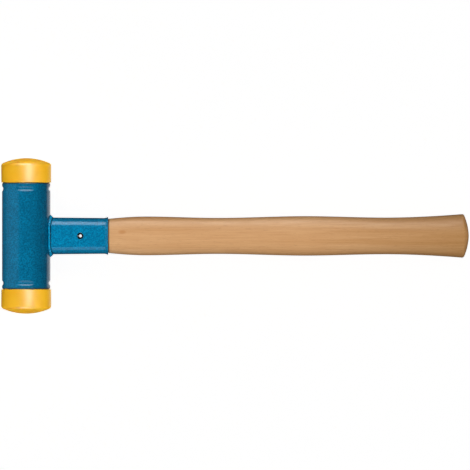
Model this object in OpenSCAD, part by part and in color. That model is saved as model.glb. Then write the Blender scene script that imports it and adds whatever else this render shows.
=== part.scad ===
// Dead-blow soft face hammer, lying on its side.
// A steel tube holds loose steel shot between two crimped polyurethane faces.
// A flat-oval socket is welded to the tube, and a spring pin holds the wooden handle in it.
// The handle runs along +X, the head along Y, and the origin is on the bench under the middle.

/* [Head tube] */
// Outside diameter of the coated steel tube
tube_d = 38.5; // [34:0.5:44]
// Length of the tube between the two striking faces
tube_len = 85; // [74:1:110]
// Thickness of the tube wall
tube_wall = 2; // [1.5:0.1:3]
// Rounding of the outer edge at each end of the tube
tube_rim_r = 1.5; // [0.3:0.1:1.8]

/* [Crimps] */
// Number of crimps round each end of the tube
crimp_count = 4; // [3:1:6]
// Distance from the end of the tube to the middle of a crimp
crimp_setback = 4.9; // [4.5:0.1:6]
// Depth of a crimp at its middle
crimp_depth = 0.9; // [0.6:0.1:1.3]
// Nose radius of the crimping jaw
crimp_nose_r = 2.5; // [1.5:0.1:3]
// Radius of the hollow edge of the crimping jaw
crimp_jaw_r = 44; // [32:1:60]

/* [Striking faces] */
// How far the widest part of a face stands out past the tube
face_overhang = 0.75; // [0.4:0.05:2]
// How far a face narrows from its widest part down to the tube
face_taper = 0.15; // [0:0.05:0.3]
// Height of a striking face above the tube
face_h = 19.5; // [14:0.5:28]
// Radius of the domed striking surface
dome_r = 46; // [32:1:80]
// Rounding between the dome and the side
dome_edge_r = 2.8; // [1:0.1:4]
// Rounding of the edge that sits on the tube
face_base_r = 0.6; // [0.2:0.1:1]
// Length of the stem that the crimps hold in the tube
stem_len = 12; // [10:0.5:16]
// Lead-in chamfer at the inner end of the stem
stem_chamfer = 0.8; // [0.3:0.1:1.2]

/* [Shot charge] */
// Thickness of the steel disc that backs each stem
disc_thick = 2.5; // [1.5:0.1:4]
// Diameter of one steel ball
shot_d = 8; // [6:0.5:9]
// Share of the chamber's length that the packed shot fills
shot_fill = 0.78; // [0.5:0.01:0.9]

/* [Handle socket] */
// Height of the socket at its foot on the tube
socket_foot_h = 29.3; // [25:0.1:34]
// Height of the socket behind its lip
socket_h = 28.5; // [25:0.1:34]
// Depth of the socket from front to back
socket_t = 18; // [16.2:0.1:22]
// Corner radius of the socket's section
socket_corner_r = 8; // [6:0.1:8.5]
// Thickness of the socket wall
socket_wall = 2; // [1.5:0.1:2.5]
// Length of the socket from the side of the tube to its mouth
socket_len = 46; // [36:0.5:60]
// How far the lip at the mouth flares out
lip_rise = 0.8; // [0.3:0.1:1.2]
// Length of the flare at the mouth
lip_flare = 3; // [2:0.1:5]
// Width of the weld bead on the tube, above and below the socket
weld_rise = 2.3; // [1:0.1:3]
// Width of the weld bead on the tube, in front of and behind the socket
weld_front = 0.15; // [0.1:0.05:1]
// Width of the weld bead along the socket
weld_leg = 2.4; // [1:0.1:3]
// How far the weld bead bulges out in front of and behind the socket
weld_bulge = 0.9; // [0.1:0.05:1.2]
// Depth that the socket's foot is ground back under the weld bead, in front and behind
weld_prep = 0.9; // [0.1:0.05:1]
// Width of the bevel from the ground foot up to the bare socket
weld_groove = 0.9; // [0.3:0.1:1.5]

/* [Spring pin] */
// Diameter of the slotted spring pin
pin_d = 5; // [4:0.5:6]
// Wall of the rolled pin
pin_wall = 1.3; // [0.6:0.1:1.5]
// Width of the slot along the pin
pin_slot = 0.3; // [0.2:0.1:1.2]
// Chamfer at each end of the pin
pin_chamfer = 0.5; // [0.2:0.1:0.8]
// Depth of the pin's ends below the socket's front and back
pin_recess = 0.4; // [0:0.1:1]
// Distance from the mouth of the socket back to the pin
pin_setback = 22; // [14:0.1:26]

/* [Handle] */
// Height of the handle where it meets the socket
throat_h = 27.2; // [26:0.1:32]
// Depth of the handle where it meets the socket
throat_t = 18; // [15:0.1:22]
// Height of the first swell
front_swell_h = 30.9; // [27:0.1:36]
// Depth of the first swell
front_swell_t = 20; // [17:0.1:26]
// Height of the waist between the swells
waist_h = 28.7; // [25:0.1:34]
// Depth of the waist between the swells
waist_t = 19; // [16:0.1:26]
// Height of the palm swell
palm_h = 31.5; // [27:0.1:38]
// Depth of the palm swell
palm_t = 22; // [18:0.1:28]
// Height of the neck before the butt
neck_h = 29.2; // [25:0.1:36]
// Depth of the neck before the butt
neck_t = 21; // [17:0.1:28]
// Height of the flared butt
butt_h = 34.7; // [29:0.1:42]
// Depth of the flared butt
butt_t = 25; // [20:0.1:32]
// Length from the mouth of the socket to the first swell
throat_len = 30; // [20:0.5:45]
// Length from the first swell to the waist
front_len = 57.5; // [30:0.5:90]
// Length from the waist to the palm swell
grip_len = 70; // [40:0.5:110]
// Length from the palm swell to the neck
palm_len = 63.5; // [35:0.5:100]
// Length from the neck to the edge of the butt
butt_len = 61; // [35:0.5:90]
// Radius of the domed end of the butt
butt_dome_r = 40; // [28:1:80]
// Rounding of the edge of the butt
butt_edge_r = 2; // [1:0.1:4]
// Rounding of the shoulder against the socket
shoulder_r = 0.9; // [0.4:0.1:1]
// Fullness of the oval section, where 2 is a plain ellipse
oval_power = 2.5; // [2:0.1:3.5]

/* [Fits] */
// Gap round a stem or disc in the tube
stem_fit = 0.1; // [0.05:0.01:0.2]
// Gap between a crimp and the groove that it holds
groove_fit = 0.25; // [0.1:0.01:0.4]
// Gap round each steel ball
shot_fit = 0.1; // [0.05:0.01:0.3]
// Gap round the handle's tenon in the socket
tenon_fit = 0.1; // [0.05:0.01:0.3]
// Gap between the end of the tenon and the side of the tube
tenon_gap = 1.5; // [0.5:0.1:4]
// Gap round the spring pin in its hole
pin_fit = 0.04; // [0.02:0.01:0.1]
// Gap between welded pieces
weld_fit = 0.05; // [0.02:0.01:0.1]

/* [Hidden] */
$fn = 96;

COAT = "#0a6c9c";
POLYURETHANE = "#edb01c";
HICKORY = "#cfa073";
STEEL = "#9a9da0";

// Facets of the shapes that are swept or lofted
CORNER_STEPS = 8;
OVAL_SIDES = 32;
BODY_STEPS = 8;
ROUND_STEPS = 5;
DOME_STEPS = 10;
WELD_STEPS = 4;
SHOT_FACETS = 48;
// Angle on a dome at which its last ring closes, short of the pole
DOME_CLOSE = 88;
// Shape of the flares: 1 is a straight cone, more is hollower
LIP_CURVE = 1.7;
THROAT_CURVE = 1.8;
BUTT_CURVE = 1.8;
// Extra reach of a cutting tool past the surface that it cuts
REACH = 1;
// Turn that the crimping jaw's hollow edge spans
CRIMP_SWEEP = 60;

// Head
tube_r = tube_d / 2;
bore_r = tube_r - tube_wall;
face_r = tube_r + face_overhang;
stem_r = bore_r - stem_fit;
groove_r = crimp_nose_r + tube_wall + groove_fit;
groove_centre_r = tube_r - crimp_depth + crimp_nose_r;
crimp_ring_r = crimp_jaw_r + crimp_nose_r;
crimp_centre = tube_r - crimp_depth - crimp_jaw_r;

// Shot chamber
chamber_half = tube_len / 2 - stem_len - disc_thick;
shot_step = shot_d + shot_fit;
// The innermost ring has room for at least three balls
least_ring_r = shot_step / 2 / sin(60);
ring_count = floor((shot_ring_r(0) - least_ring_r) / shot_step) + 1;
row_lean = min([for (ring = [0 : ring_count - 1]) 2 * shot_ring_r(ring) * sin(90 / shot_ring_n(ring))]);
row_step = sqrt(shot_step * shot_step - row_lean * row_lean);
row_count = floor((2 * chamber_half * shot_fill - shot_d) / row_step) + 1;

// Socket and pin
mouth_x = tube_r + socket_len;
lip_x = mouth_x - lip_flare;
pin_x = mouth_x - pin_setback;
pin_len = socket_t - 2 * pin_recess;
// Ways that the points of the socket's section face
outline_turns = [for (corner = [0 : 3], step = [0 : CORNER_STEPS]) 90 * (corner + step / CORNER_STEPS)];

// Handle
front_swell_x = mouth_x + throat_len;
waist_x = front_swell_x + front_len;
palm_x = waist_x + grip_len;
neck_x = palm_x + palm_len;
butt_x = neck_x + butt_len;
handle_end = butt_x + dome_rise(butt_h / 2, butt_dome_r, butt_edge_r);

// Place of the origin, midway along the hammer and on the bench
middle_x = (handle_end - face_r) / 2;
bench_z = -face_r;

// Points of an arc about a centre, from one angle to another
function arc(centre, r, from, to, steps) =
    [for (step = [0 : steps])
        let (turn = from + (to - from) * step / steps)
        [centre[0] + r * cos(turn), centre[1] + r * sin(turn)]];

// Depth of a dome's centre below the level where its edge rounding starts
function dome_drop(r, dome, edge) = sqrt(pow(dome - edge, 2) - pow(r - edge, 2));

// Height of a dome above the level where its edge rounding starts
function dome_rise(r, dome, edge) = dome - dome_drop(r, dome, edge);

// Radius and height along a rounded edge and the dome above it, ending at the given angle
function dome_profile(r, dome, edge, close) =
    let (drop = dome_drop(r, dome, edge), lean = atan2(drop, r - edge))
    concat(arc([r - edge, 0], edge, 0, lean, ROUND_STEPS),
           [for (point = arc([0, -drop], dome, lean, close, DOME_STEPS)) if (point[1] > edge * sin(lean)) point]);

// Section of the socket: a rounded rectangle of half sizes a and b
function rounded_outline(a, b, r) =
    [for (i = [0 : len(outline_turns) - 1])
        let (turn = outline_turns[i], corner = floor(i / (CORNER_STEPS + 1)),
             side_a = corner == 0 || corner == 3 ? 1 : -1,
             side_b = corner < 2 ? 1 : -1)
        [side_a * (a - r) + r * cos(turn), side_b * (b - r) + r * sin(turn)]];

// Section of the handle: a full oval of half sizes a and b
function oval_outline(a, b) =
    [for (side = [0 : OVAL_SIDES - 1])
        let (turn = 360 * side / OVAL_SIDES, c = cos(turn), s = sin(turn))
        [a * sign(c) * pow(abs(c), 2 / oval_power), b * sign(s) * pow(abs(s), 2 / oval_power)]];

// One ring of a loft along X
function ring_at(x, outline) = [for (point = outline) [x, point[0], point[1]]];

function mix(a, b, share) = a + (b - a) * share;
function s_curve(t) = t * t * (3 - 2 * t);

// Half height and half depth of the handle at x
function handle_half(x) =
    let (throat = [throat_h, throat_t] / 2, front = [front_swell_h, front_swell_t] / 2,
         waist = [waist_h, waist_t] / 2, palm = [palm_h, palm_t] / 2,
         neck = [neck_h, neck_t] / 2, butt = [butt_h, butt_t] / 2)
    x < front_swell_x ? mix(throat, front, 1 - pow((front_swell_x - x) / throat_len, THROAT_CURVE)) :
    x < waist_x ? mix(front, waist, s_curve((x - front_swell_x) / front_len)) :
    x < palm_x ? mix(waist, palm, s_curve((x - waist_x) / grip_len)) :
    x < neck_x ? mix(palm, neck, s_curve((x - palm_x) / palm_len)) :
    mix(neck, butt, pow((x - neck_x) / butt_len, BUTT_CURVE));

// Rings of the handle: the rounded shoulder, the swells, and the domed butt
function handle_rings() =
    let (stops = [mouth_x + shoulder_r, front_swell_x, waist_x, palm_x, neck_x, butt_x])
    concat(
        [for (step = [0 : ROUND_STEPS])
            let (turn = 90 * step / ROUND_STEPS, x = mouth_x + shoulder_r * (1 - cos(turn)),
                 half = handle_half(x) - shoulder_r * (1 - sin(turn)) * [1, 1])
            ring_at(x, oval_outline(half[0], half[1]))],
        [for (part = [0 : len(stops) - 2], step = [1 : BODY_STEPS])
            let (x = mix(stops[part], stops[part + 1], step / BODY_STEPS), half = handle_half(x))
            ring_at(x, oval_outline(half[0], half[1]))],
        [for (point = dome_profile(butt_h / 2, butt_dome_r, butt_edge_r, DOME_CLOSE))
            let (share = point[0] / (butt_h / 2))
            if (point[1] > 0)
            ring_at(butt_x + point[1], oval_outline(share * butt_h / 2, share * butt_t / 2))]);

// Section of the socket at its foot, grown above and below and in front and behind
function foot_outline(grow_h, grow_t) =
    rounded_outline(socket_foot_h / 2 + grow_h, socket_t / 2 + grow_t, socket_corner_r + grow_t);

// Point of the tube's side, or just off it, at a point of the socket's outline
function on_tube(point) = [sqrt(pow(tube_r + weld_fit, 2) - pow(point[1], 2)), point[0], point[1]];

// Ring round the socket's foot that follows the tube's side at a distance
function foot_ring(grow_t, away) = [for (point = foot_outline(0, grow_t)) on_tube(point) + [away, 0, 0]];

// Rings of the socket's outer skin, from inside the tube over the ground foot to the flared mouth
function socket_rings() = concat(
    [ring_at(0, foot_outline(0, -weld_prep)), foot_ring(-weld_prep, weld_leg),
     foot_ring(0, weld_leg + weld_groove)],
    [for (step = [0 : BODY_STEPS])
        let (rise = lip_rise * pow(step / BODY_STEPS, LIP_CURVE))
        ring_at(lip_x + lip_flare * step / BODY_STEPS,
                rounded_outline(socket_h / 2 + rise, socket_t / 2 + rise, socket_corner_r + rise))]);

// Sections of the weld bead: its root, and its front from the tube to the socket
function weld_rings() =
    let (roots = foot_outline(weld_fit, weld_fit - weld_prep))
    [for (i = [0 : len(roots) - 1])
        let (up = cos(outline_turns[i]), out = sin(outline_turns[i]), root = on_tube(roots[i]),
             tube_edge = on_tube(roots[i] + [weld_rise * up, weld_front * out]),
             socket_edge = root + [weld_leg, 0, 0])
        concat([root],
               [for (step = [0 : WELD_STEPS])
                   let (t = step / WELD_STEPS)
                   mix(tube_edge, socket_edge, t) + [0, 0, 4 * t * (1 - t) * weld_bulge * out]])];

// Distance from the head's axis to the middle of a ring of balls, and the number of balls in it
function shot_ring_r(ring) = bore_r - shot_fit - shot_d / 2 - ring * shot_step;
function shot_ring_n(ring) = floor(180 / asin(shot_step / 2 / shot_ring_r(ring)));

// Solid skinned over rings of equal count, closed by its first and last ring
module loft(rings) {
    count = len(rings[0]);
    last = len(rings) - 1;
    points = [for (ring = rings, point = ring) point];
    sides = [for (row = [0 : last - 1], i = [0 : count - 1])
        let (j = (i + 1) % count, a = row * count)
        each [[a + i, a + count + i, a + count + j], [a + i, a + count + j, a + j]]];
    caps = [[for (i = [0 : count - 1]) i], [for (i = [count - 1 : -1 : 0]) last * count + i]];
    polyhedron(points, concat(caps, sides));
}

// Solid skinned over rings of equal count that close on themselves
module loop_loft(rings) {
    count = len(rings[0]);
    rows = len(rings);
    points = [for (ring = rings, point = ring) point];
    polyhedron(points, [for (row = [0 : rows - 1], i = [0 : count - 1])
        let (j = (i + 1) % count, a = row * count, b = ((row + 1) % rows) * count)
        each [[a + i, b + i, b + j], [a + i, b + j, a + j]]]);
}

// Moves the model from the middle of the head to the origin on the bench
module place() translate([-middle_x, 0, -bench_z]) children();

// Turns a revolved shape so that its axis is the head's axis
module along_head() rotate([-90, 0, 0]) children();

// Sets a striking end's piece at the upper or the lower end of the tube
module at_end(side) mirror([0, side < 0 ? 1 : 0, 0]) translate([0, tube_len / 2, 0]) along_head() children();

// Flat-oval bar along X that fills the socket, but for a gap all round
module socket_filling(gap, from, to) {
    inset = socket_wall + gap;
    translate([from, 0, 0]) rotate([90, 0, 90]) linear_extrude(height = to - from)
        flat_oval(socket_h - 2 * inset, socket_t - 2 * inset, socket_corner_r - inset);
}

// Rounded rectangle with true round corners
module flat_oval(w, h, r) {
    square([w, h - 2 * r], center = true);
    square([w - 2 * r, h], center = true);
    for (x = [-1, 1], y = [-1, 1])
        translate([x * (w / 2 - r), y * (h / 2 - r)]) circle(r);
}

// Rounded bars pressed into both ends of the tube, as thick as the jaw's nose plus a margin
module crimp_bars(margin)
    for (side = [-1, 1], i = [0 : crimp_count - 1])
        at_end(side) rotate(90 + 360 * i / crimp_count)
            translate([crimp_centre, 0, -crimp_setback])
                rotate(-CRIMP_SWEEP / 2) rotate_extrude(angle = CRIMP_SWEEP)
                    translate([crimp_ring_r, 0]) circle(crimp_nose_r + margin);

module head_tube() color(COAT) difference() {
    union() {
        along_head() rotate_extrude() polygon(concat(
            [[bore_r, -tube_len / 2]],
            arc([tube_r - tube_rim_r, tube_rim_r - tube_len / 2], tube_rim_r, -90, 0, ROUND_STEPS),
            arc([tube_r - tube_rim_r, tube_len / 2 - tube_rim_r], tube_rim_r, 0, 90, ROUND_STEPS),
            [[bore_r, tube_len / 2]]));
        intersection() {
            crimp_bars(tube_wall);
            along_head() cylinder(r = bore_r + tube_wall / 2, h = tube_len, center = true);
        }
    }
    crimp_bars(0);
}

module handle_socket() color(COAT) difference() {
    loft(socket_rings());
    socket_filling(0, 0, mouth_x + REACH);
    along_head() cylinder(r = tube_r + weld_fit, h = tube_len, center = true);
    translate([pin_x, 0, 0]) cylinder(d = pin_d + 2 * pin_fit, h = socket_t + 2 * REACH, center = true);
}

// Bead along the line where the socket's foot meets the tube
module socket_weld() color(COAT) loop_loft(weld_rings());

// Striking face with its stem and the groove for the crimps, sitting at height 0
module striking_face() {
    side_h = face_h - dome_rise(face_r, dome_r, dome_edge_r);
    lean = acos((groove_centre_r - stem_r) / groove_r);
    color(POLYURETHANE) rotate_extrude() polygon(concat(
        [[0, -stem_len], [stem_r - stem_chamfer, -stem_len], [stem_r, stem_chamfer - stem_len]],
        arc([groove_centre_r, -crimp_setback], groove_r, 180 + lean, 180 - lean, ROUND_STEPS + DOME_STEPS),
        [[stem_r, 0]],
        arc([face_r - face_taper - face_base_r, face_base_r], face_base_r, -90, 0, ROUND_STEPS),
        [for (point = dome_profile(face_r, dome_r, dome_edge_r, 90)) point + [0, side_h]]));
}

module impact_disc() color(STEEL)
    translate([0, 0, -stem_len - disc_thick]) cylinder(r = stem_r, h = disc_thick);

// Steel balls in nested rows, gathered against the lower disc
module steel_shot() color(STEEL)
    for (row = [0 : row_count - 1], ring = [0 : ring_count - 1], i = [0 : shot_ring_n(ring) - 1])
        translate([0, shot_fit + shot_d / 2 - chamber_half + row * row_step, 0])
            rotate([0, (i + (row % 2) / 2) * 360 / shot_ring_n(ring), 0])
                translate([0, 0, -shot_ring_r(ring)]) sphere(d = shot_d, $fn = SHOT_FACETS);

// Rolled pin with a slot along its side
module spring_pin() color(STEEL) translate([pin_x, 0, -pin_len / 2]) difference() {
    rotate_extrude() polygon([
        [pin_d / 2 - pin_wall, 0], [pin_d / 2 - pin_chamfer, 0], [pin_d / 2, pin_chamfer],
        [pin_d / 2, pin_len - pin_chamfer], [pin_d / 2 - pin_chamfer, pin_len], [pin_d / 2 - pin_wall, pin_len]]);
    translate([-pin_d, -pin_slot / 2, -REACH]) cube([pin_d, pin_slot, pin_len + 2 * REACH]);
}

// Handle with the tenon that fits the socket
module handle() color(HICKORY) difference() {
    union() {
        loft(handle_rings());
        socket_filling(tenon_fit, tube_r + tenon_gap, mouth_x + REACH);
    }
    translate([pin_x, 0, 0]) cylinder(d = pin_d + 2 * pin_fit, h = socket_t, center = true);
}

place() head_tube();
place() handle_socket();
place() socket_weld();
place() at_end(1) striking_face();  // upper_face
place() at_end(-1) striking_face();  // lower_face
place() at_end(1) impact_disc();  // upper_impact_disc
place() at_end(-1) impact_disc();  // lower_impact_disc
place() steel_shot();
place() spring_pin();
place() handle();
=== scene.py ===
import bmesh
import bpy
import math
from collections import namedtuple
from mathutils import Euler, Matrix, Vector


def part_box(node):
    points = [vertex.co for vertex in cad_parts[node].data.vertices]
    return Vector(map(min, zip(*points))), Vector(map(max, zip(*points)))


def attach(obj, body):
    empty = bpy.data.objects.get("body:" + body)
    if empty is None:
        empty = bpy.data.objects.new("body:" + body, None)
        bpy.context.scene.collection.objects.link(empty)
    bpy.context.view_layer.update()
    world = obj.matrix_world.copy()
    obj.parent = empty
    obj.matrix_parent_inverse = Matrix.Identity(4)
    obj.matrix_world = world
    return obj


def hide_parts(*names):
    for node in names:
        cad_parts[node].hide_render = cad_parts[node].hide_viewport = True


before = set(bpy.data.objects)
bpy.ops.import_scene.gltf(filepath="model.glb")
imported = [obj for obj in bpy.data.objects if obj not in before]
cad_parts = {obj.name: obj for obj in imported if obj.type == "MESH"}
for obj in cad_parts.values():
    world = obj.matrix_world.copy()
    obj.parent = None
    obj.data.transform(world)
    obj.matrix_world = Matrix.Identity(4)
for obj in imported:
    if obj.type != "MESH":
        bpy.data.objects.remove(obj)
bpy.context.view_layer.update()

MM = 0.001

# Places and sizes that the frame gives
tube_low, tube_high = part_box("head_tube")
face_low, face_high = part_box("upper_face")
disc_low, disc_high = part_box("upper_impact_disc")
socket_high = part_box("handle_socket")[1]
pin_low, pin_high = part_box("spring_pin")
handle_low, handle_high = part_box("handle")
shot_low, shot_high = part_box("steel_shot")

# Pieces are modelled about the middle of the head, with the head along Y and the handle along X
HEAD = (tube_low + tube_high) / 2
TUBE_R = (tube_high.x - tube_low.x) / 2
TUBE_END = tube_high.y
STEM_R = (disc_high.x - disc_low.x) / 2
FACE_R = (face_high.x - face_low.x) / 2
FACE_TOP = face_high.y
STEM_END = face_low.y
MOUTH = socket_high.x - HEAD.x
PIN_R = (pin_high.y - pin_low.y) / 2
PIN_X = pin_low.x + PIN_R - HEAD.x
PIN_LEN = pin_high.z - pin_low.z
TENON_END = handle_low.x - HEAD.x
BUTT_H = handle_high.y - handle_low.y
BUTT_T = handle_high.z - handle_low.z

# Head tube and its crimps
STEM_FIT = 0.1 * MM
BORE_R = STEM_R + STEM_FIT
RIM_R = 1.5 * MM
CRIMP_COUNT = 4
CRIMP_Y = TUBE_END - 4.9 * MM
CRIMP_DEPTH = 0.9 * MM
NOSE_R = 2.5 * MM
JAW_R = 44 * MM
CRIMP_REACH = 3.6 * MM
CRIMP_SOFTNESS = 0.22 * MM

# Striking faces
DOME_R = 46 * MM
DOME_EDGE_R = 2.8 * MM
FACE_TAPER = 0.15 * MM
FACE_BASE_R = 0.6 * MM
STEM_CHAMFER = 0.8 * MM
GROOVE_R = 4.75 * MM
GROOVE_CENTRE_R = TUBE_R - CRIMP_DEPTH + NOSE_R

# Socket and its weld
FOOT_H = 29.3 * MM
SOCKET_H = 28.5 * MM
SOCKET_T = 18 * MM
SOCKET_CORNER = 8 * MM
SOCKET_WALL = 2 * MM
LIP_RISE = 0.8 * MM
LIP_FLARE = 3 * MM
LIP_CURVE = 1.7
LIP_EDGE_R = 0.35 * MM
WELD_FIT = 0.05 * MM
WELD_RISE = 2.3 * MM
WELD_FRONT = 0.15 * MM
WELD_LEG = 2.4 * MM
WELD_BULGE = 0.9 * MM
WELD_PREP = 0.9 * MM
WELD_GROOVE = 0.9 * MM
RIPPLE_COUNT = 48
RIPPLE_HEIGHT = 0.08 * MM
RIPPLE_SWEEP = 2.2
BEAD_WOBBLES = [(5, 0.07 * MM), (11, 0.05 * MM)]

# Spring pin
PIN_WALL = 1.3 * MM
PIN_CHAMFER = 0.5 * MM
PIN_INNER_CHAMFER = 0.15 * MM
PIN_SLOT = 0.3 * MM
PIN_FIT = 0.04 * MM
DRILL_LEN = 4 * PIN_LEN

# Handle, with its sections at their distances from the socket's mouth
Section = namedtuple("Section", "away height depth")
THROAT = Section(0, 27.2 * MM, 18 * MM)
FRONT_SWELL = Section(30 * MM, 30.9 * MM, 20 * MM)
WAIST = Section(87.5 * MM, 28.7 * MM, 19 * MM)
PALM = Section(157.5 * MM, 31.5 * MM, 22 * MM)
NECK = Section(221 * MM, 29.2 * MM, 21 * MM)
BUTT = Section(282 * MM, BUTT_H, BUTT_T)
THROAT_CURVE = 1.8
BUTT_CURVE = 1.8
OVAL_POWER = 2.5
BUTT_POWER = 2.05
CROWN_FULLNESS = 0.25
SHOULDER_R = 0.9 * MM
BUTT_DOME_R = 40 * MM
BUTT_EDGE_R = 2 * MM
TENON_FIT = 0.1 * MM

# Shot
SHOT_D = 8 * MM
SHOT_FIT = 0.1 * MM

# How finely curves are divided
TURN_STEPS = 192
CRIMP_STEPS = 28
EDGE_STEPS = 8
DOME_STEPS = 24
CORNER_STEPS = 14
LONG_STEPS = 12
SHORT_STEPS = 2
BEAD_FINENESS = 4
BEAD_STEPS = 14
BALL_FINENESS = 3
OVAL_SIDES = 96
RING_PITCH = 3 * MM
SUPPORT = 0.3 * MM
MERGE = 0.002 * MM
SHARP_EDGE = math.radians(38)

# Angles in degrees at which the dome of a face and the crown of the butt close
POLE = 90
BUTT_CLOSE = 89


# Outlines

def arc(centre, radius, start, end, steps):
    """Points of an arc about a centre, from one angle in degrees to another."""
    turns = [math.radians(start + (end - start) * step / steps) for step in range(steps + 1)]
    return [(centre[0] + radius * math.cos(turn), centre[1] + radius * math.sin(turn)) for turn in turns]


def dome_drop(radius, dome_r, edge_r):
    """Depth of a dome's centre below the level where its edge rounding starts."""
    return math.sqrt((dome_r - edge_r) ** 2 - (radius - edge_r) ** 2)


def dome_outline(radius, dome_r, edge_r, close):
    """Radius and height along a rounded edge and the dome above it, up to an angle in degrees."""
    drop = dome_drop(radius, dome_r, edge_r)
    lean = math.degrees(math.atan2(drop, radius - edge_r))
    edge = arc((radius - edge_r, 0), edge_r, 0, lean, EDGE_STEPS)
    return edge + arc((0, -drop), dome_r, lean, close, DOME_STEPS)[1:]


def flat_oval(half_h, half_t, corner_r, fineness=1):
    """Section of the socket: a rounded rectangle, with points beside each corner that keep its sides flat."""
    curves = []
    for corner, (side_y, side_z) in enumerate([(1, 1), (-1, 1), (-1, -1), (1, -1)]):
        centre = (side_y * (half_h - corner_r), side_z * (half_t - corner_r))
        curves.append(arc(centre, corner_r, 90 * corner, 90 * corner + 90, CORNER_STEPS * fineness))
    points = []
    for corner, curve in enumerate(curves):
        start, end = Vector(curve[-1]), Vector(curves[(corner + 1) % 4][0])
        steps = fineness * (SHORT_STEPS if corner % 2 else LONG_STEPS)
        support = SUPPORT / (end - start).length
        shares = [support] + [step / steps for step in range(1, steps)] + [1 - support]
        points += curve + [tuple(start.lerp(end, share)) for share in sorted(shares)]
    return points


def full_oval(half_h, half_t, power=OVAL_POWER):
    """Section of the handle: an oval fuller than an ellipse."""
    points = []
    for side in range(OVAL_SIDES):
        turn = math.tau * side / OVAL_SIDES
        y, z = math.cos(turn), math.sin(turn)
        points.append((math.copysign(half_h * abs(y) ** (2 / power), y),
                       math.copysign(half_t * abs(z) ** (2 / power), z)))
    return points


def on_tube(point, away=0):
    """Point just off the tube's side, or at a distance from there, at a point of a section."""
    return Vector((math.sqrt((TUBE_R + WELD_FIT) ** 2 - point[1] ** 2) + away, *point))


def flat_ring(x, outline):
    """Section set square across the handle's axis."""
    return [Vector((x, y, z)) for y, z in outline]


def foot_ring(grow, away):
    """Section of the socket's foot, grown in front and behind, that follows the tube's side at a distance."""
    outline = flat_oval(FOOT_H / 2, SOCKET_T / 2 + grow, SOCKET_CORNER + grow)
    return [on_tube(point, away) for point in outline]


# Meshes

def draw(bm, points, closed):
    """Edges along points."""
    verts = [bm.verts.new(point) for point in points]
    ends = verts[1:] + verts[:1] if closed else verts[1:]
    return verts, [bm.edges.new(pair) for pair in zip(verts, ends)]


def revolve(bm, points, closed, axis, angle=math.tau):
    """Spins an outline about an axis through the middle of the head."""
    verts, edges = draw(bm, points, closed)
    bmesh.ops.spin(bm, geom=verts + edges, cent=(0, 0, 0), axis=axis, angle=angle, steps=TURN_STEPS,
                   use_merge=angle == math.tau)


def skin(bm, rings):
    """Bridges closed rings in turn, and returns the edges of the first and the last ring."""
    loops = [draw(bm, ring, True)[1] for ring in rings]
    for loop, following in zip(loops, loops[1:]):
        bmesh.ops.bridge_loops(bm, edges=loop + following)
    return loops[0], loops[-1]


def tidy(bm):
    """Closes seams and poles and points the faces outwards."""
    bmesh.ops.remove_doubles(bm, verts=bm.verts, dist=MERGE)
    bmesh.ops.recalc_face_normals(bm, faces=bm.faces)


def new_object(name, bm):
    """Object at the origin with its place in its mesh."""
    mesh = bpy.data.meshes.new(name)
    bm.to_mesh(mesh)
    bm.free()
    made = bpy.data.objects.new(name, mesh)
    bpy.context.scene.collection.objects.link(made)
    return made


def drill(piece):
    """Cuts the spring pin's hole through a piece."""
    bm = bmesh.new()
    bmesh.ops.create_cone(bm, cap_ends=True, segments=TURN_STEPS // 2, radius1=PIN_R + PIN_FIT,
                          radius2=PIN_R + PIN_FIT, depth=DRILL_LEN)
    bmesh.ops.translate(bm, verts=bm.verts, vec=HEAD + Vector((PIN_X, 0, 0)))
    bit = new_object("pin_drill", bm)
    cut = piece.modifiers.new("pin_hole", "BOOLEAN")
    cut.object = bit
    cut.solver = "EXACT"
    drilled = piece.evaluated_get(bpy.context.evaluated_depsgraph_get())
    mesh = bpy.data.meshes.new_from_object(drilled)
    piece.modifiers.clear()
    piece.data = mesh
    mesh.name = piece.name
    bpy.data.objects.remove(bit)


def make_piece(name, bm, finish, node, body="hammer", drilled=False):
    """Moves a mesh from the middle of the head to its place, as the piece that stands for a node."""
    tidy(bm)
    bmesh.ops.translate(bm, verts=bm.verts, vec=HEAD)
    piece = new_object(name, bm)
    if drilled:
        drill(piece)
    piece.data.shade_smooth()
    piece.data.set_sharp_from_angle(angle=SHARP_EDGE)
    piece.data.materials.append(finish)
    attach(piece, body)
    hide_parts(node)
    return piece


# Finishes

def tint(red, green, blue):
    """Colour given in steps of a screen, made linear."""
    steps = [value / 255 for value in (red, green, blue)]
    return (*[v / 12.92 if v <= 0.04045 else ((v + 0.055) / 1.055) ** 2.4 for v in steps], 1)


# The part of its range that a noise mostly fills
NOISE_SPAN = (0.3, 0.7)

# Blue coat: two blues for each piece, its pattern, and painted shade under the faces and beside the weld
TUBE_BLUES = (tint(0, 84, 118), tint(0, 116, 156))
SOCKET_BLUES = (tint(0, 106, 148), tint(0, 144, 192))
# The weld's blues are lighter than the socket's: painted light on the bead's crest
WELD_LIT_BLUES = (tint(0, 130, 178), tint(0, 172, 224))
COAT_GLOSS = 0.35
COAT_ROUGHNESS = (0.16, 0.24)
COAT_GRAIN = 1.1 * MM
COAT_GRAIN_SPAN = (0.38, 0.62)
COAT_GRAIN_DEPTH = 0.06 * MM
COAT_PEEL = 2.2 * MM
COAT_PEEL_DEPTH = 0.1 * MM
COAT_CLOUD = 9 * MM
COAT_CLOUD_SPAN = (0.35, 0.7)
COAT_CLOUD_SHARE = 0.4
# Painted shade on the tube's ends, where the faces' overhang shadows them
SEAM = 1.4 * MM
UNDER_FACE_PAINTED_SHADE = (0.03, 0.03, 0.02, 1)
# Painted shade in the groove beside the weld, where the bead and the socket shade it
CREASE = 0.6 * MM
CREASE_SHARE = 0.95
CREASE_SHADE = (0.005, 0.02, 0.03, 1)

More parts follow.
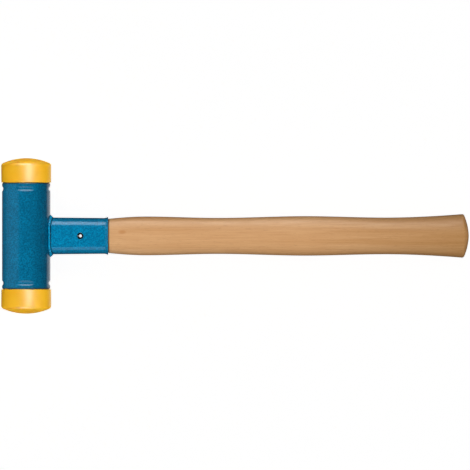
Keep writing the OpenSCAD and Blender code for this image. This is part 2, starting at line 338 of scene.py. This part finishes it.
# Yellow polyurethane
CAST_YELLOWS = (tint(236, 172, 8), tint(243, 184, 22))
CAST_GLOSS = 0.2
CAST_ROUGHNESS = (0.41, 0.47)
CAST_CLOUD = 12 * MM
CAST_GRAIN = 0.35 * MM
CAST_GRAIN_DEPTH = 0.02 * MM
GLOW_SHARE = 0.12
GLOW_REACH = 1.5 * MM
GLOW_COLOUR = (1, 0.5, 0.15)

# Hickory: its bands, fibres and pores, a brown fleck, placed from the middle of the head, painted shade
# that darkens it towards the butt, and painted shade on its shoulder where the socket's lip shadows it
WOOD_GLOSS = 0.25
WOOD_ROUGHNESS = (0.34, 0.55)
BANDS = (150 * MM, 4.5 * MM, 9 * MM)
BAND_BROWNS = (tint(222, 176, 128), tint(207, 157, 106))
FIBRES = (30 * MM, 0.8 * MM, 0.8 * MM)
FIBRE_BROWN = tint(194, 139, 88)
FIBRE_SHARE = 0.5
FIBRE_DEPTH = 0.05 * MM
PORES = (5 * MM, 0.3 * MM, 0.3 * MM)
PORE_BROWN = tint(150, 100, 58)
PORE_SPAN = (0.62, 0.75)
PORE_SHARE = 0.35
FLECK_PLACE = (76.5 * MM, 3.1 * MM, 9.3 * MM)
FLECK_SIZE = (4 * MM, 2 * MM, 3 * MM)
FLECK_BROWN = tint(184, 116, 54)
FLECK_SPAN = (0, 0.6)
FLECK_SHARE = 0.5
# Painted shade: the wood gets darker and browner towards the butt, in place of light falling off along the
# handle
BUTT_PAINTED_SHADE = (0.72, 0.67, 0.54, 1)
# Painted shade on the wood's shoulder, where the socket's lip shadows it
SHOULDER_SHADE_REACH = 1.6 * MM
SHOULDER_PAINTED_SHADE = (0.05, 0.04, 0.035, 1)

# Steel of the pin, and of the shot and the discs
PIN_BLACKS = ((0.002, 0.003, 0.004, 1), (0.007, 0.009, 0.011, 1))
PIN_GLOSS = 0.2
PIN_ROUGHNESS = (0.38, 0.55)
PIN_SCALE = 0.6 * MM
STEEL_GREYS = ((0.38, 0.39, 0.41, 1), (0.5, 0.5, 0.5, 1))
STEEL_ROUGHNESS = (0.28, 0.45)
STEEL_STREAKS = (0.5 * MM, 3 * MM, 0.5 * MM)
STEEL_STAINS = 4 * MM

# Studio paper
PAPER_WHITES = ((0.8, 0.8, 0.8, 1), (0.82, 0.82, 0.82, 1))
PAPER_ROUGHNESS = 0.9
PAPER_FLECKS = 3 * MM
PAPER_GLOW = 0.95


def add(tree, kind, inputs, **settings):
    """Adds a shader node. A socket given as an input is linked, and any other value is set."""
    made = tree.nodes.new("ShaderNode" + kind)
    for name, value in settings.items():
        setattr(made, name, value)
    for name, value in inputs.items():
        if isinstance(value, bpy.types.NodeSocket):
            tree.links.new(value, made.inputs[name])
        else:
            made.inputs[name].default_value = value
    return made


def start_finish(name, **sockets):
    """New material with some of its shader's sockets set, by their names, and where its patterns lie."""
    material = bpy.data.materials.new(name)
    material.use_nodes = True
    tree = material.node_tree
    shader = tree.nodes["Principled BSDF"]
    for socket, value in sockets.items():
        shader.inputs[socket.replace("_", " ").title().replace("Ior", "IOR")].default_value = value
    place = add(tree, "TexCoord", {}).outputs["Object"]
    return material, tree, shader, place


def speckle(tree, place, size, detail=2.0, roughness=0.5):
    """Cloudy noise with features of a size in metres, or of three sizes along X, Y and Z."""
    if isinstance(size, tuple):
        scale = [1 / length for length in size]
        place = add(tree, "Mapping", {"Vector": place, "Scale": scale}).outputs["Vector"]
        size = 1
    made = add(tree, "TexNoise", {"Vector": place, "Scale": 1 / size, "Detail": detail,
                                  "Roughness": roughness})
    return made.outputs["Fac"]


def spread(tree, value, span, onto=(0, 1)):
    """Maps a value from one span onto another, and holds it at the ends."""
    made = add(tree, "MapRange", {"Value": value, "From Min": span[0], "From Max": span[1],
                                  "To Min": onto[0], "To Max": onto[1]})
    return made.outputs["Result"]


def blend(tree, share, first, second, kind="MIX"):
    """Mixes two colours."""
    made = add(tree, "Mix", {0: share, 6: first, 7: second}, data_type="RGBA", blend_type=kind)
    return made.outputs[2]


def math_node(tree, operation, first, second=0.0):
    """Result of an operation on one value or two."""
    return add(tree, "Math", {0: first, 1: second}, operation=operation).outputs[0]


def bump(tree, height, strength, depth, under=None):
    """Normal of a fine relief, on its own or over another relief."""
    inputs = {"Height": height, "Strength": strength, "Distance": depth}
    if under:
        inputs["Normal"] = under
    return add(tree, "Bump", inputs).outputs["Normal"]


def complete(tree, shader, colour, roughness, relief=None):
    """Links a finish's colour, roughness and relief to its shader."""
    tree.links.new(colour, shader.inputs["Base Color"])
    tree.links.new(roughness, shader.inputs["Roughness"])
    if relief:
        tree.links.new(relief, shader.inputs["Normal"])


def off_weld_groove(tree, x, z):
    """Distance of a place from the groove beside the weld, which follows the tube's round side."""
    depth = math_node(tree, "SUBTRACT", z, HEAD.z)
    squared = math_node(tree, "SUBTRACT", TUBE_R ** 2, math_node(tree, "MULTIPLY", depth, depth))
    tube_side = math_node(tree, "SQRT", squared)
    off_tube = math_node(tree, "SUBTRACT", math_node(tree, "SUBTRACT", x, HEAD.x), tube_side)
    return math_node(tree, "ABSOLUTE", math_node(tree, "SUBTRACT", off_tube, WELD_LEG))


def blue_coat(name, deep, bright):
    """Structured powder coat: pebbled, a little cloudy, with painted shade under the faces and beside the
    weld.
    """
    material, tree, shader, place = start_finish(name, specular_ior_level=COAT_GLOSS)
    grain = speckle(tree, place, COAT_GRAIN, detail=3)
    peel = speckle(tree, place, COAT_PEEL)
    cloud = speckle(tree, place, COAT_CLOUD, detail=3)
    colour = blend(tree, spread(tree, grain, COAT_GRAIN_SPAN), deep, bright)
    colour = blend(tree, spread(tree, cloud, COAT_CLOUD_SPAN, (0, COAT_CLOUD_SHARE)), colour, deep)
    x, y, z = add(tree, "SeparateXYZ", {"Vector": place}).outputs
    # Painted shade on the tube's ends, under the faces' overhang
    seam = spread(tree, math_node(tree, "ABSOLUTE", y), (TUBE_END - SEAM, TUBE_END))
    colour = blend(tree, seam, colour, UNDER_FACE_PAINTED_SHADE)
    # Painted shade in the groove beside the weld
    crease = spread(tree, off_weld_groove(tree, x, z), (0, CREASE), (CREASE_SHARE, 0))
    colour = blend(tree, crease, colour, CREASE_SHADE)
    peeled = bump(tree, peel, strength=0.25, depth=COAT_PEEL_DEPTH)
    relief = bump(tree, grain, strength=0.2, depth=COAT_GRAIN_DEPTH, under=peeled)
    complete(tree, shader, colour, spread(tree, grain, NOISE_SPAN, COAT_ROUGHNESS), relief)
    return material


def yellow_polyurethane():
    """Cast polyurethane: satin, slightly cloudy and slightly translucent."""
    material, tree, shader, place = start_finish("yellow_polyurethane", specular_ior_level=CAST_GLOSS,
                                                 subsurface_weight=GLOW_SHARE, subsurface_scale=GLOW_REACH,
                                                 subsurface_radius=GLOW_COLOUR)
    cloud = speckle(tree, place, CAST_CLOUD, detail=3)
    skin_grain = speckle(tree, place, CAST_GRAIN)
    colour = blend(tree, spread(tree, cloud, NOISE_SPAN), *CAST_YELLOWS)
    relief = bump(tree, skin_grain, strength=0.1, depth=CAST_GRAIN_DEPTH)
    complete(tree, shader, colour, spread(tree, cloud, NOISE_SPAN, CAST_ROUGHNESS), relief)
    return material


def hickory():
    """Straight-grained hickory under clear varnish, with painted shade on the shoulder against the socket and
    painted shade making it darker and browner towards the butt.
    """
    material, tree, shader, place = start_finish("hickory", specular_ior_level=WOOD_GLOSS)
    bands = speckle(tree, place, BANDS)
    fibres = speckle(tree, place, FIBRES, detail=4, roughness=0.6)
    pores = speckle(tree, place, PORES, detail=1)
    colour = blend(tree, spread(tree, bands, NOISE_SPAN), *BAND_BROWNS)
    colour = blend(tree, spread(tree, fibres, NOISE_SPAN, (0, FIBRE_SHARE)), colour, FIBRE_BROWN)
    colour = blend(tree, spread(tree, pores, PORE_SPAN, (0, PORE_SHARE)), colour, PORE_BROWN)
    centre = [-(start + way) / size for start, way, size in zip(HEAD, FLECK_PLACE, FLECK_SIZE)]
    around = add(tree, "Mapping", {"Vector": place, "Location": centre,
                                   "Scale": [1 / size for size in FLECK_SIZE]}).outputs["Vector"]
    fleck = add(tree, "TexGradient", {"Vector": around}, gradient_type="SPHERICAL").outputs["Fac"]
    colour = blend(tree, spread(tree, fleck, FLECK_SPAN, (0, FLECK_SHARE)), colour, FLECK_BROWN)
    along = add(tree, "SeparateXYZ", {"Vector": place}).outputs["X"]
    mouth = HEAD.x + MOUTH
    # Painted shade, darker towards the butt
    butt_shade_share = spread(tree, along, (mouth + PALM.away, mouth + BUTT.away))
    colour = blend(tree, butt_shade_share, colour, BUTT_PAINTED_SHADE, "MULTIPLY")
    # Painted shade on the shoulder beside the socket's lip
    shoulder_shade_share = spread(tree, along, (mouth, mouth + SHOULDER_SHADE_REACH), (1, 0))
    colour = blend(tree, shoulder_shade_share, colour, SHOULDER_PAINTED_SHADE, "MULTIPLY")
    relief = bump(tree, fibres, strength=0.3, depth=FIBRE_DEPTH)
    complete(tree, shader, colour, spread(tree, fibres, NOISE_SPAN, WOOD_ROUGHNESS), relief)
    return material


def dark_spring_steel():
    """Hardened pin with a black oiled skin."""
    material, tree, shader, place = start_finish("dark_spring_steel", specular_ior_level=PIN_GLOSS)
    scale = speckle(tree, place, PIN_SCALE, detail=3)
    colour = blend(tree, spread(tree, scale, NOISE_SPAN), *PIN_BLACKS)
    complete(tree, shader, colour, spread(tree, scale, NOISE_SPAN, PIN_ROUGHNESS))
    return material


def bare_steel():
    """Dull oiled steel, a little streaked."""
    material, tree, shader, place = start_finish("bare_steel", metallic=1)
    streak = speckle(tree, place, STEEL_STREAKS, detail=3)
    stain = speckle(tree, place, STEEL_STAINS, detail=3)
    colour = blend(tree, spread(tree, stain, NOISE_SPAN), *STEEL_GREYS)
    complete(tree, shader, colour, spread(tree, streak, NOISE_SPAN, STEEL_ROUGHNESS))
    return material


def pale_floor():
    """Bright studio paper."""
    material, tree, shader, place = start_finish("pale_floor", roughness=PAPER_ROUGHNESS,
                                                 specular_ior_level=0, emission_strength=PAPER_GLOW,
                                                 emission_color=(1, 1, 1, 1))
    fleck = speckle(tree, place, PAPER_FLECKS)
    tone = blend(tree, spread(tree, fleck, NOISE_SPAN), *PAPER_WHITES)
    tree.links.new(tone, shader.inputs["Base Color"])
    return material


# Head

def press_crimps(bm):
    """Presses the crimping jaws' hollow edges into the tube, with softly rolled borders."""
    pitch = math.tau / CRIMP_COUNT
    jaw_centre = TUBE_R - CRIMP_DEPTH - JAW_R
    for vert in bm.verts:
        along = abs(vert.co.y) - CRIMP_Y
        if abs(along) >= NOSE_R:
            continue
        turn = math.atan2(vert.co.z, vert.co.x)
        turn -= round(turn / pitch) * pitch
        jaw = jaw_centre * math.cos(turn) + math.sqrt(JAW_R ** 2 - (jaw_centre * math.sin(turn)) ** 2)
        depth = TUBE_R - jaw - NOSE_R + math.sqrt(NOSE_R ** 2 - along ** 2)
        pressed = (depth + math.hypot(depth, CRIMP_SOFTNESS)) / 2
        inwards = -Vector((vert.co.x, 0, vert.co.z)).normalized()
        vert.co += inwards * pressed


def crimped_tube(finish):
    """Tube that the crimps hold the faces in."""
    crimp = [CRIMP_Y + CRIMP_REACH * (2 * step / CRIMP_STEPS - 1) for step in range(CRIMP_STEPS + 1)]
    heights = [-height for height in reversed(crimp)] + crimp
    outside = [(TUBE_R, height) for height in heights]
    inside = [(BORE_R, height) for height in reversed(heights)]
    rim = TUBE_R - RIM_R
    outline = (arc((rim, RIM_R - TUBE_END), RIM_R, -90, 0, EDGE_STEPS) + outside
               + arc((rim, TUBE_END - RIM_R), RIM_R, 0, 90, EDGE_STEPS)
               + [(BORE_R, TUBE_END)] + inside + [(BORE_R, -TUBE_END)])
    bm = bmesh.new()
    revolve(bm, [(radius, height, 0) for radius, height in outline], True, (0, 1, 0))
    press_crimps(bm)
    return make_piece("crimped_tube", bm, finish, "head_tube")


def striking_face(name, node, side, finish):
    """Domed face with its base on the tube's end, and the grooved stem that the crimps hold."""
    stem_low = STEM_END - TUBE_END
    groove_y = CRIMP_Y - TUBE_END
    lean = math.degrees(math.acos((GROOVE_CENTRE_R - STEM_R) / GROOVE_R))
    rise = DOME_R - dome_drop(FACE_R, DOME_R, DOME_EDGE_R)
    dome_low = FACE_TOP - TUBE_END - rise
    dome = dome_outline(FACE_R, DOME_R, DOME_EDGE_R, POLE)
    outline = ([(0, stem_low), (STEM_R - STEM_CHAMFER, stem_low), (STEM_R, stem_low + STEM_CHAMFER)]
               + arc((GROOVE_CENTRE_R, groove_y), GROOVE_R, 180 + lean, 180 - lean, DOME_STEPS)
               + [(STEM_R, 0)]
               + arc((FACE_R - FACE_TAPER - FACE_BASE_R, FACE_BASE_R), FACE_BASE_R, -90, 0, EDGE_STEPS)
               + [(radius, dome_low + height) for radius, height in dome])
    bm = bmesh.new()
    revolve(bm, [(radius, side * (TUBE_END + height), 0) for radius, height in outline], False, (0, 1, 0))
    return make_piece(name, bm, finish, node)


def shot_balls(finish):
    """Steel balls in nested rows, gathered against the lower disc."""
    ball_r = SHOT_D / 2
    step = SHOT_D + SHOT_FIT
    outer_r = (shot_high.x - shot_low.x) / 2 - ball_r
    ring_radii = [outer_r, outer_r - step]
    counts = [int(math.pi / math.asin(step / 2 / radius)) for radius in ring_radii]
    lean = min(2 * radius * math.sin(math.pi / 2 / count) for radius, count in zip(ring_radii, counts))
    row_step = math.sqrt(step ** 2 - lean ** 2)
    rows = round((shot_high.y - shot_low.y - SHOT_D) / row_step) + 1
    bm = bmesh.new()
    for row in range(rows):
        for radius, count in zip(ring_radii, counts):
            for ball in range(count):
                turn = math.tau * (ball + row % 2 / 2) / count
                place = Vector((-radius * math.sin(turn), shot_low.y + ball_r + row * row_step,
                                -radius * math.cos(turn)))
                bmesh.ops.create_icosphere(bm, subdivisions=BALL_FINENESS, radius=ball_r,
                                           matrix=Matrix.Translation(place))
    return make_piece("shot_balls", bm, finish, "steel_shot", body="shot_charge")


# Socket, weld and pin

def socket_sleeve(finish):
    """Flat-oval sleeve with a ground foot on the tube and a flared lip."""
    lip_x = MOUTH - LIP_FLARE
    inside = flat_oval(SOCKET_H / 2 - SOCKET_WALL, SOCKET_T / 2 - SOCKET_WALL, SOCKET_CORNER - SOCKET_WALL)
    rings = [foot_ring(-WELD_PREP, 0), foot_ring(-WELD_PREP, WELD_LEG)]
    for step in range(1, EDGE_STEPS + 1):
        share = step / EDGE_STEPS
        grow = WELD_PREP * (math.sin(share * math.pi / 2) - 1)
        rings.append(foot_ring(grow, WELD_LEG + WELD_GROOVE * share))
    rings.append(foot_ring(0, WELD_LEG + WELD_GROOVE + SUPPORT))
    for step in range(CORNER_STEPS + 1):
        share = step / CORNER_STEPS
        rise = LIP_RISE * share ** LIP_CURVE
        outline = flat_oval(SOCKET_H / 2 + rise, SOCKET_T / 2 + rise, SOCKET_CORNER + rise)
        rings.append(flat_ring(lip_x + (LIP_FLARE - LIP_EDGE_R) * share, outline))
    for x, sink in arc((MOUTH - LIP_EDGE_R, -LIP_EDGE_R), LIP_EDGE_R, 90, 0, EDGE_STEPS)[1:]:
        grow = LIP_RISE + sink
        rings.append(flat_ring(x, flat_oval(SOCKET_H / 2 + grow, SOCKET_T / 2 + grow, SOCKET_CORNER + grow)))
    rings.append(flat_ring(MOUTH, inside))
    rings.append([on_tube(point) for point in inside])
    bm = bmesh.new()
    first, last = skin(bm, rings)
    bmesh.ops.bridge_loops(bm, edges=first + last)
    return make_piece("socket_sleeve", bm, finish, "handle_socket", drilled=True)


def weld_bead(finish):
    """Hand-laid bead round the socket's foot: full in front and behind, straight above and below."""
    sink = WELD_FIT - WELD_PREP
    corner_r = SOCKET_CORNER + sink
    half_h, half_t = FOOT_H / 2 + WELD_FIT, SOCKET_T / 2 + sink
    flat = Vector((half_h - corner_r, half_t - corner_r))
    sections = []
    for i, point in enumerate(flat_oval(half_h, half_t, corner_r, BEAD_FINENESS)):
        nearest = Vector([max(-side, min(side, value)) for value, side in zip(point, flat)])
        up, out = (Vector(point) - nearest) / corner_r
        root = on_tube(point)
        tube_edge = on_tube((point[0] + WELD_RISE * up, point[1] + WELD_FRONT * out))
        sections.append((i, up, out, root, tube_edge, root + Vector((WELD_LEG, 0, 0))))
    rings = [[root for _, _, _, root, _, _ in sections]]
    for step in range(BEAD_STEPS + 1):
        share = step / BEAD_STEPS
        crown = 4 * share * (1 - share)
        ring = []
        for i, up, out, root, tube_edge, socket_edge in sections:
            around = math.tau * i / len(sections)
            uneven = sum(height * math.sin(count * around) for count, height in BEAD_WOBBLES)
            uneven += RIPPLE_HEIGHT * math.sin(RIPPLE_COUNT * around + RIPPLE_SWEEP * (2 * share - 1) ** 2)
            swell = Vector((0, uneven * up, (WELD_BULGE + uneven * abs(out)) * out))
            ring.append(tube_edge.lerp(socket_edge, share) + crown * swell)
        rings.append(ring)
    bm = bmesh.new()
    first, last = skin(bm, rings)
    bmesh.ops.bridge_loops(bm, edges=first + last)
    return make_piece("weld_bead", bm, finish, "socket_weld")


def rolled_pin(finish):
    """Pin rolled from strip, with a slot along its side and chamfered ends."""
    half = PIN_LEN / 2
    bore = PIN_R - PIN_WALL
    section = [(bore, PIN_INNER_CHAMFER - half), (bore + PIN_INNER_CHAMFER, -half),
               (PIN_R - PIN_CHAMFER, -half), (PIN_R, PIN_CHAMFER - half)]
    section += [(radius, -height) for radius, height in reversed(section)]
    opening = math.asin(PIN_SLOT / 2 / PIN_R)
    bm = bmesh.new()
    start = Matrix.Rotation(math.pi + opening, 3, "Z")
    points = [start @ Vector((radius, 0, height)) for radius, height in section]
    revolve(bm, points, True, (0, 0, 1), math.tau - 2 * opening)
    bmesh.ops.holes_fill(bm, edges=[edge for edge in bm.edges if edge.is_boundary], sides=0)
    bmesh.ops.translate(bm, verts=bm.verts, vec=(PIN_X, 0, 0))
    return make_piece("rolled_pin", bm, finish, "spring_pin")


# Handle

def between(first, second, share):
    """Half height and half depth part way from one handle section to the next."""
    return [(a + (b - a) * share) / 2 for a, b in zip(first[1:], second[1:])]


def handle_half(away):
    """Half height and half depth of the handle at a distance from the socket's mouth."""
    if away < FRONT_SWELL.away:
        return between(THROAT, FRONT_SWELL, 1 - (1 - away / FRONT_SWELL.away) ** THROAT_CURVE)
    for start, end in [(FRONT_SWELL, WAIST), (WAIST, PALM), (PALM, NECK)]:
        if away < end.away:
            share = (away - start.away) / (end.away - start.away)
            return between(start, end, share * share * (3 - 2 * share))
    return between(NECK, BUTT, ((away - NECK.away) / (BUTT.away - NECK.away)) ** BUTT_CURVE)


def handle_power(away):
    """Power of the handle's oval, which gets rounder from the palm swell to the butt."""
    flared = max(0, away - PALM.away) / (BUTT.away - PALM.away)
    return OVAL_POWER + (BUTT_POWER - OVAL_POWER) * flared


def hickory_handle(finish):
    """Handle with its tenon, a rounded shoulder, the swells for the hand and a crowned butt."""
    inset = SOCKET_WALL + TENON_FIT
    tenon = flat_oval(SOCKET_H / 2 - inset, SOCKET_T / 2 - inset, SOCKET_CORNER - inset)
    rings = []
    for away, sink in arc((SHOULDER_R, -SHOULDER_R), SHOULDER_R, 180, 90, EDGE_STEPS):
        half_h, half_t = handle_half(away)
        rings.append(flat_ring(MOUTH + away, full_oval(half_h + sink, half_t + sink)))
    count = round((BUTT.away - SHOULDER_R) / RING_PITCH)
    for step in range(1, count + 1):
        away = SHOULDER_R + (BUTT.away - SHOULDER_R) * step / count
        rings.append(flat_ring(MOUTH + away, full_oval(*handle_half(away), handle_power(away))))
    for radius, rise in dome_outline(BUTT_H / 2, BUTT_DOME_R, BUTT_EDGE_R, BUTT_CLOSE)[1:]:
        half_t = BUTT_T / 2 * (2 * radius / BUTT_H) ** CROWN_FULLNESS
        rings.append(flat_ring(MOUTH + BUTT.away + rise, full_oval(radius, half_t, BUTT_POWER)))
    bm = bmesh.new()
    tenon_end, tenon_root = skin(bm, [flat_ring(x, tenon) for x in (TENON_END, MOUTH)])
    shoulder, butt = skin(bm, rings)
    bmesh.ops.bridge_loops(bm, edges=tenon_root + shoulder)
    bmesh.ops.contextual_create(bm, geom=tenon_end)
    bmesh.ops.contextual_create(bm, geom=butt)
    return make_piece("hickory_handle", bm, finish, "handle", drilled=True)


# Studio

FRAME_PX = 470
PIXEL = 0.797 * MM
HEAD_PX = (26.25, 235.9)
CAMERA_HEIGHT = 6.0
SENSOR = 36
FLOOR_REACH = 4
FLOOR_GAP = 0.05 * MM
WORLD_GREY = (0.06, 0.06, 0.06, 1)
FACE_STRIP_SHIFT = 0.2

# Bearings of the lights, in degrees from +X to +Y, as the camera sees them
RIGHT = 0
HIGH = 90
LEFT = 180
LOW = 270


def photograph_camera():
    """Camera straight above, framed as the photograph is."""
    data = bpy.data.cameras.new("camera")
    data.sensor_width = SENSOR
    data.lens = SENSOR * CAMERA_HEIGHT / (FRAME_PX * PIXEL)
    camera = bpy.data.objects.new("camera", data)
    right = (FRAME_PX / 2 - HEAD_PX[0]) * PIXEL
    up = (HEAD_PX[1] - FRAME_PX / 2) * PIXEL
    camera.location = HEAD + Vector((right, up, CAMERA_HEIGHT))
    bpy.context.scene.collection.objects.link(camera)
    bpy.context.scene.camera = camera


def softbox(name, aim, bearing, lean, away, size, power):
    """Area light at a distance from a point and turned towards it. The lean is from straight above."""
    data = bpy.data.lights.new(name, "AREA")
    data.shape = "RECTANGLE"
    data.size, data.size_y = size
    data.energy = power
    light = bpy.data.objects.new(name, data)
    turn, tilt = math.radians(bearing), math.radians(lean)
    way = Vector((math.sin(tilt) * math.cos(turn), math.sin(tilt) * math.sin(turn), math.cos(tilt)))
    light.location = Vector(aim) + away * way
    light.rotation_euler = (-way).to_track_quat("-Z", "Y").to_euler()
    bpy.context.scene.collection.objects.link(light)
    return light


def shine_on(pieces, light):
    """Keeps a light to some pieces."""
    lit = bpy.data.collections.new(light.name)
    for piece in pieces:
        lit.objects.link(piece)
    light.light_linking.receiver_collection = lit


def fill(pieces, *where, **reach):
    """Soft light that leaves no highlight."""
    light = softbox(*where, **reach)
    light.visible_glossy = False
    shine_on(pieces, light)


def highlight(pieces, *where, **reach):
    """Strip that shows only as a highlight."""
    light = softbox(*where, **reach)
    light.visible_diffuse = False
    shine_on(pieces, light)


def lay_floor():
    """Floor that the faces and the butt rest on."""
    bm = bmesh.new()
    bmesh.ops.create_grid(bm, x_segments=1, y_segments=1, size=FLOOR_REACH)
    floor = new_object("floor", bm)
    slope = math.atan2(handle_low.z, MOUTH + BUTT.away)
    floor.rotation_euler = Euler((0, -slope, 0))
    floor.location = (HEAD.x, 0, -FLOOR_GAP)
    floor.data.materials.append(pale_floor())
    floor.visible_glossy = False
    floor.visible_diffuse = False


def light_studio(tube, faces, socket, handle, inside):
    """Soft light from above, a brighter upper side, and the faces lit evenly from all round."""
    middle = HEAD + Vector((PIN_X, 0, 0))
    tube_side = HEAD + Vector((TUBE_R, 0, 0))
    upper_side = HEAD + Vector((0, FACE_STRIP_SHIFT, 0))
    metal = [tube, *socket, *inside]
    fill([tube], "tube_high_key", HEAD, HIGH, lean=45, away=1.1, size=(0.9, 0.6), power=8.2)
    fill([tube], "tube_low_key", HEAD, LOW, lean=45, away=1.1, size=(0.9, 0.6), power=8.2)
    fill([tube], "tube_left_key", HEAD, LEFT, lean=52, away=1.1, size=(0.6, 0.6), power=5)
    fill(socket, "socket_left_key", middle, LEFT, lean=40, away=1.1, size=(0.6, 0.4), power=9.3)
    fill(socket, "socket_right_key", middle, RIGHT, lean=62, away=1.1, size=(0.6, 0.4), power=10)
    fill([handle], "handle_key", middle, LEFT, lean=16, away=1.1, size=(0.9, 0.9), power=10.2)
    fill([handle], "handle_high_fill", middle, HIGH, lean=58, away=1.0, size=(0.9, 0.4), power=2.2)
    fill([handle], "handle_low_fill", middle, LOW, lean=58, away=1.0, size=(0.9, 0.4), power=1.9)
    fill([handle], "butt_fill", middle, RIGHT, lean=70, away=1.2, size=(0.6, 0.3), power=4.2)
    highlight([handle, *metal], "upper_strip", middle, HIGH, lean=54, away=0.9, size=(1.1, 0.6), power=11.5)
    highlight(metal, "lower_strip", middle, LOW, lean=54, away=0.9, size=(1.1, 0.6), power=2.7)
    highlight([tube], "side_strip", tube_side, RIGHT, lean=145, away=0.12, size=(0.16, 0.13), power=0.072)
    highlight([tube], "tube_left_strip", HEAD, LEFT, lean=85, away=0.5, size=(0.5, 0.4), power=0.2)
    highlight(faces, "face_side_strip", tube_side, RIGHT, lean=145, away=0.12, size=(0.16, 0.1), power=0.11)
    fill(faces, "face_left_fill", HEAD, LEFT, lean=80, away=1.0, size=(0.6, 0.6), power=4)
    fill(faces, "face_right_fill", HEAD, RIGHT, lean=80, away=1.0, size=(0.6, 0.6), power=5.6)
    fill(faces, "face_high_fill", HEAD, HIGH, lean=56, away=1.0, size=(0.5, 0.2), power=8.2)
    fill(faces, "face_low_fill", HEAD, LOW, lean=56, away=1.0, size=(0.5, 0.2), power=7.2)
    highlight(faces, "face_strip", upper_side, RIGHT, lean=14.2, away=1.2, size=(0.5, 0.45), power=62)
    highlight(faces, "face_high_strip", HEAD, HIGH, lean=60, away=0.9, size=(0.6, 0.3), power=62)
    highlight(faces, "face_low_strip", HEAD, LOW, lean=60, away=0.9, size=(0.6, 0.3), power=44)
    world = bpy.data.worlds.new("studio")
    world.use_nodes = True
    world.node_tree.nodes["Background"].inputs["Color"].default_value = WORLD_GREY
    bpy.context.scene.world = world
    bpy.context.scene.view_settings.view_transform = "Standard"


polyurethane = yellow_polyurethane()
steel = bare_steel()
socket_coat = blue_coat("socket_coat", *SOCKET_BLUES)
weld_coat = blue_coat("weld_coat", *WELD_LIT_BLUES)
tube = crimped_tube(blue_coat("tube_coat", *TUBE_BLUES))
faces = [striking_face("upper_striking_face", "upper_face", 1, polyurethane),
         striking_face("lower_striking_face", "lower_face", -1, polyurethane)]
inside = [shot_balls(steel)]
socket = [socket_sleeve(socket_coat), weld_bead(weld_coat), rolled_pin(dark_spring_steel())]
handle = hickory_handle(hickory())
for disc in ("upper_impact_disc", "lower_impact_disc"):
    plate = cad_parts[disc]
    plate.data.materials.clear()
    plate.data.materials.append(steel)
    inside.append(plate)

photograph_camera()
lay_floor()
light_studio(tube, faces, socket, handle, inside)
